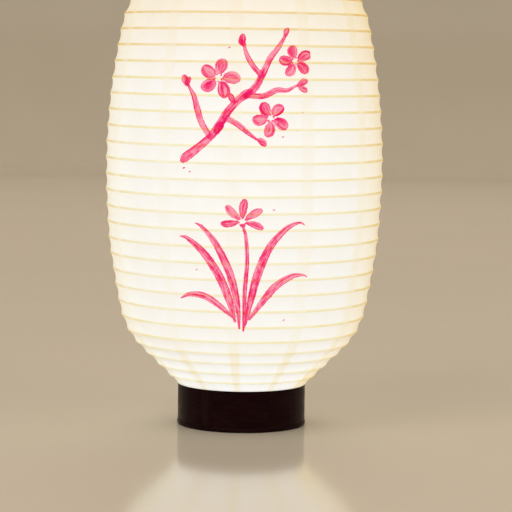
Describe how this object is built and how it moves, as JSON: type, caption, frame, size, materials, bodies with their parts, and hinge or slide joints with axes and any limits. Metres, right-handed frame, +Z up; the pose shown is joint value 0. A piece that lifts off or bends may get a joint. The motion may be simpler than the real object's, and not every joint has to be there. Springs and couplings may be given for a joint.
{
  "type": "paper lantern lamp",
  "caption": "Folding paper lantern lamp: a ribbed barrel shade between black rings slides down a wire frame, over a bulb and lampholder on a round black base.",
  "frame": {"origin": "centre of the felt underside, where the lamp stands", "axes": "+Z up along the lantern's axis, front faces -Y, the cord inlet is at the back on +Y, the wire frame stands in the XZ plane"},
  "size_m": [0.2524, 0.2524, 0.4742],
  "materials": {
    "washi_paper": "matt handmade paper, warm white",
    "thread": "matt cotton",
    "bamboo": "split bamboo, satin",
    "black_lacquer": "brown-black lacquer, semi-gloss",
    "hoop_wood": "stained dark, matt",
    "felt": "black felt",
    "ballast_iron": "plain",
    "screw_steel": "zinc plated",
    "frame_steel": "drawn wire, satin nickel",
    "brass": "satin",
    "holder_black": "moulded phenolic, satin",
    "holder_cream": "glazed steatite",
    "grommet_rubber": "matt",
    "lug_black": "black paint, satin",
    "bush_nylon": "natural nylon",
    "rivet_aluminium": "plain",
    "bulb_cap_metal": "nickel plated",
    "bulb_insulator_black": "gloss",
    "bulb_contact_metal": "tinned",
    "bulb_white": "moulded, satin",
    "led_board": "white coated",
    "bulb_opal": "opal, satin"
  },
  "bodies": {
    "base": {"felt_pad": "felt", "base_plate": "black_lacquer", "ballast_disc": "ballast_iron", "base_screws": "screw_steel", "lower_ring": "black_lacquer", "lower_inner_hoop": "hoop_wood", "cord_grommet": "grommet_rubber", "frame_ferrules": "brass", "frame_wire": "frame_steel", "holder_cup": "holder_black", "holder_screws": "screw_steel", "holder_barrel": "holder_black", "contact_block": "holder_cream", "screw_shell": "brass", "centre_tongue": "brass", "terminal_screws": "brass", "shade_paper": "washi_paper", "binding_threads": "thread"},
    "top_ring": {"top_ring": "black_lacquer", "top_inner_hoop": "hoop_wood", "guide_lugs": "lug_black", "guide_bushes": "bush_nylon", "lug_rivets": "rivet_aluminium"},
    "bulb": {"bulb_cap": "bulb_cap_metal", "bulb_insulator": "bulb_insulator_black", "bulb_contact": "bulb_contact_metal", "bulb_housing": "bulb_white", "bulb_led_board": "led_board", "bulb_diffuser": "bulb_opal"},
    "rib_01": {"rib_01": "bamboo"},
    "rib_02": {"rib_02": "bamboo"},
    "rib_03": {"rib_03": "bamboo"},
    "rib_04": {"rib_04": "bamboo"},
    "rib_05": {"rib_05": "bamboo"},
    "rib_06": {"rib_06": "bamboo"},
    "rib_07": {"rib_07": "bamboo"},
    "rib_08": {"rib_08": "bamboo"},
    "rib_09": {"rib_09": "bamboo"},
    "rib_10": {"rib_10": "bamboo"},
    "rib_11": {"rib_11": "bamboo"},
    "rib_12": {"rib_12": "bamboo"},
    "rib_13": {"rib_13": "bamboo"},
    "rib_14": {"rib_14": "bamboo"},
    "rib_15": {"rib_15": "bamboo"},
    "rib_16": {"rib_16": "bamboo"},
    "rib_17": {"rib_17": "bamboo"},
    "rib_18": {"rib_18": "bamboo"},
    "rib_19": {"rib_19": "bamboo"},
    "rib_20": {"rib_20": "bamboo"},
    "rib_21": {"rib_21": "bamboo"},
    "rib_22": {"rib_22": "bamboo"},
    "rib_23": {"rib_23": "bamboo"},
    "rib_24": {"rib_24": "bamboo"},
    "rib_25": {"rib_25": "bamboo"},
    "rib_26": {"rib_26": "bamboo"},
    "rib_27": {"rib_27": "bamboo"},
    "rib_28": {"rib_28": "bamboo"},
    "rib_29": {"rib_29": "bamboo"},
    "rib_30": {"rib_30": "bamboo"}
  },
  "joints": [
    {"name": "shade_collapse", "type": "slide", "parent": "base", "child": "top_ring", "axis": [0, 0, -1], "range_m": [0, 0.33516], "deforming": ["shade_paper", "binding_threads"]},
    {"name": "bulb_unscrew", "type": "slide", "parent": "base", "child": "bulb", "axis": [0, 0, 1], "range_m": [0, 0.03]},
    {"name": "rib_01_slide", "type": "slide", "parent": "base", "child": "rib_01", "axis": [0, 0, -1], "range_m": [0, 0.00732]},
    {"name": "rib_02_slide", "type": "slide", "parent": "base", "child": "rib_02", "axis": [0, 0, -1], "range_m": [0, 0.01585]},
    {"name": "rib_03_slide", "type": "slide", "parent": "base", "child": "rib_03", "axis": [0, 0, -1], "range_m": [0, 0.0249]},
    {"name": "rib_04_slide", "type": "slide", "parent": "base", "child": "rib_04", "axis": [0, 0, -1], "range_m": [0, 0.03312]},
    {"name": "rib_05_slide", "type": "slide", "parent": "base", "child": "rib_05", "axis": [0, 0, -1], "range_m": [0, 0.04231]},
    {"name": "rib_06_slide", "type": "slide", "parent": "base", "child": "rib_06", "axis": [0, 0, -1], "range_m": [0, 0.05343]},
    {"name": "rib_07_slide", "type": "slide", "parent": "base", "child": "rib_07", "axis": [0, 0, -1], "range_m": [0, 0.06514]},
    {"name": "rib_08_slide", "type": "slide", "parent": "base", "child": "rib_08", "axis": [0, 0, -1], "range_m": [0, 0.07728]},
    {"name": "rib_09_slide", "type": "slide", "parent": "base", "child": "rib_09", "axis": [0, 0, -1], "range_m": [0, 0.08886]},
    {"name": "rib_10_slide", "type": "slide", "parent": "base", "child": "rib_10", "axis": [0, 0, -1], "range_m": [0, 0.101]},
    {"name": "rib_11_slide", "type": "slide", "parent": "base", "child": "rib_11", "axis": [0, 0, -1], "range_m": [0, 0.11305]},
    {"name": "rib_12_slide", "type": "slide", "parent": "base", "child": "rib_12", "axis": [0, 0, -1], "range_m": [0, 0.12527]},
    {"name": "rib_13_slide", "type": "slide", "parent": "base", "child": "rib_13", "axis": [0, 0, -1], "range_m": [0, 0.13735]},
    {"name": "rib_14_slide", "type": "slide", "parent": "base", "child": "rib_14", "axis": [0, 0, -1], "range_m": [0, 0.14951]},
    {"name": "rib_15_slide", "type": "slide", "parent": "base", "child": "rib_15", "axis": [0, 0, -1], "range_m": [0, 0.16148]},
    {"name": "rib_16_slide", "type": "slide", "parent": "base", "child": "rib_16", "axis": [0, 0, -1], "range_m": [0, 0.17363]},
    {"name": "rib_17_slide", "type": "slide", "parent": "base", "child": "rib_17", "axis": [0, 0, -1], "range_m": [0, 0.18595]},
    {"name": "rib_18_slide", "type": "slide", "parent": "base", "child": "rib_18", "axis": [0, 0, -1], "range_m": [0, 0.19809]},
    {"name": "rib_19_slide", "type": "slide", "parent": "base", "child": "rib_19", "axis": [0, 0, -1], "range_m": [0, 0.21033]},
    {"name": "rib_20_slide", "type": "slide", "parent": "base", "child": "rib_20", "axis": [0, 0, -1], "range_m": [0, 0.22231]},
    {"name": "rib_21_slide", "type": "slide", "parent": "base", "child": "rib_21", "axis": [0, 0, -1], "range_m": [0, 0.23429]},
    {"name": "rib_22_slide", "type": "slide", "parent": "base", "child": "rib_22", "axis": [0, 0, -1], "range_m": [0, 0.24643]},
    {"name": "rib_23_slide", "type": "slide", "parent": "base", "child": "rib_23", "axis": [0, 0, -1], "range_m": [0, 0.25842]},
    {"name": "rib_24_slide", "type": "slide", "parent": "base", "child": "rib_24", "axis": [0, 0, -1], "range_m": [0, 0.27031]},
    {"name": "rib_25_slide", "type": "slide", "parent": "base", "child": "rib_25", "axis": [0, 0, -1], "range_m": [0, 0.28209]},
    {"name": "rib_26_slide", "type": "slide", "parent": "base", "child": "rib_26", "axis": [0, 0, -1], "range_m": [0, 0.29305]},
    {"name": "rib_27_slide", "type": "slide", "parent": "base", "child": "rib_27", "axis": [0, 0, -1], "range_m": [0, 0.30208]},
    {"name": "rib_28_slide", "type": "slide", "parent": "base", "child": "rib_28", "axis": [0, 0, -1], "range_m": [0, 0.31021]},
    {"name": "rib_29_slide", "type": "slide", "parent": "base", "child": "rib_29", "axis": [0, 0, -1], "range_m": [0, 0.31911]},
    {"name": "rib_30_slide", "type": "slide", "parent": "base", "child": "rib_30", "axis": [0, 0, -1], "range_m": [0, 0.32773]}
  ],
  "couplings": [
    {"joint": "rib_01_slide", "follows": "shade_collapse", "ratio": 0.02178},
    {"joint": "rib_02_slide", "follows": "shade_collapse", "ratio": 0.04722},
    {"joint": "rib_03_slide", "follows": "shade_collapse", "ratio": 0.07424},
    {"joint": "rib_04_slide", "follows": "shade_collapse", "ratio": 0.09877},
    {"joint": "rib_05_slide", "follows": "shade_collapse", "ratio": 0.12619},
    {"joint": "rib_06_slide", "follows": "shade_collapse", "ratio": 0.15935},
    {"joint": "rib_07_slide", "follows": "shade_collapse", "ratio": 0.19429},
    {"joint": "rib_08_slide", "follows": "shade_collapse", "ratio": 0.23053},
    {"joint": "rib_09_slide", "follows": "shade_collapse", "ratio": 0.26506},
    {"joint": "rib_10_slide", "follows": "shade_collapse", "ratio": 0.3013},
    {"joint": "rib_11_slide", "follows": "shade_collapse", "ratio": 0.33724},
    {"joint": "rib_12_slide", "follows": "shade_collapse", "ratio": 0.37371},
    {"joint": "rib_13_slide", "follows": "shade_collapse", "ratio": 0.40975},
    {"joint": "rib_14_slide", "follows": "shade_collapse", "ratio": 0.44602},
    {"joint": "rib_15_slide", "follows": "shade_collapse", "ratio": 0.48173},
    {"joint": "rib_16_slide", "follows": "shade_collapse", "ratio": 0.51799},
    {"joint": "rib_17_slide", "follows": "shade_collapse", "ratio": 0.55474},
    {"joint": "rib_18_slide", "follows": "shade_collapse", "ratio": 0.59098},
    {"joint": "rib_19_slide", "follows": "shade_collapse", "ratio": 0.62749},
    {"joint": "rib_20_slide", "follows": "shade_collapse", "ratio": 0.66323},
    {"joint": "rib_21_slide", "follows": "shade_collapse", "ratio": 0.69897},
    {"joint": "rib_22_slide", "follows": "shade_collapse", "ratio": 0.73521},
    {"joint": "rib_23_slide", "follows": "shade_collapse", "ratio": 0.77098},
    {"joint": "rib_24_slide", "follows": "shade_collapse", "ratio": 0.80644},
    {"joint": "rib_25_slide", "follows": "shade_collapse", "ratio": 0.8416},
    {"joint": "rib_26_slide", "follows": "shade_collapse", "ratio": 0.87429},
    {"joint": "rib_27_slide", "follows": "shade_collapse", "ratio": 0.90123},
    {"joint": "rib_28_slide", "follows": "shade_collapse", "ratio": 0.92549},
    {"joint": "rib_29_slide", "follows": "shade_collapse", "ratio": 0.95206},
    {"joint": "rib_30_slide", "follows": "shade_collapse", "ratio": 0.97777}
  ]
}
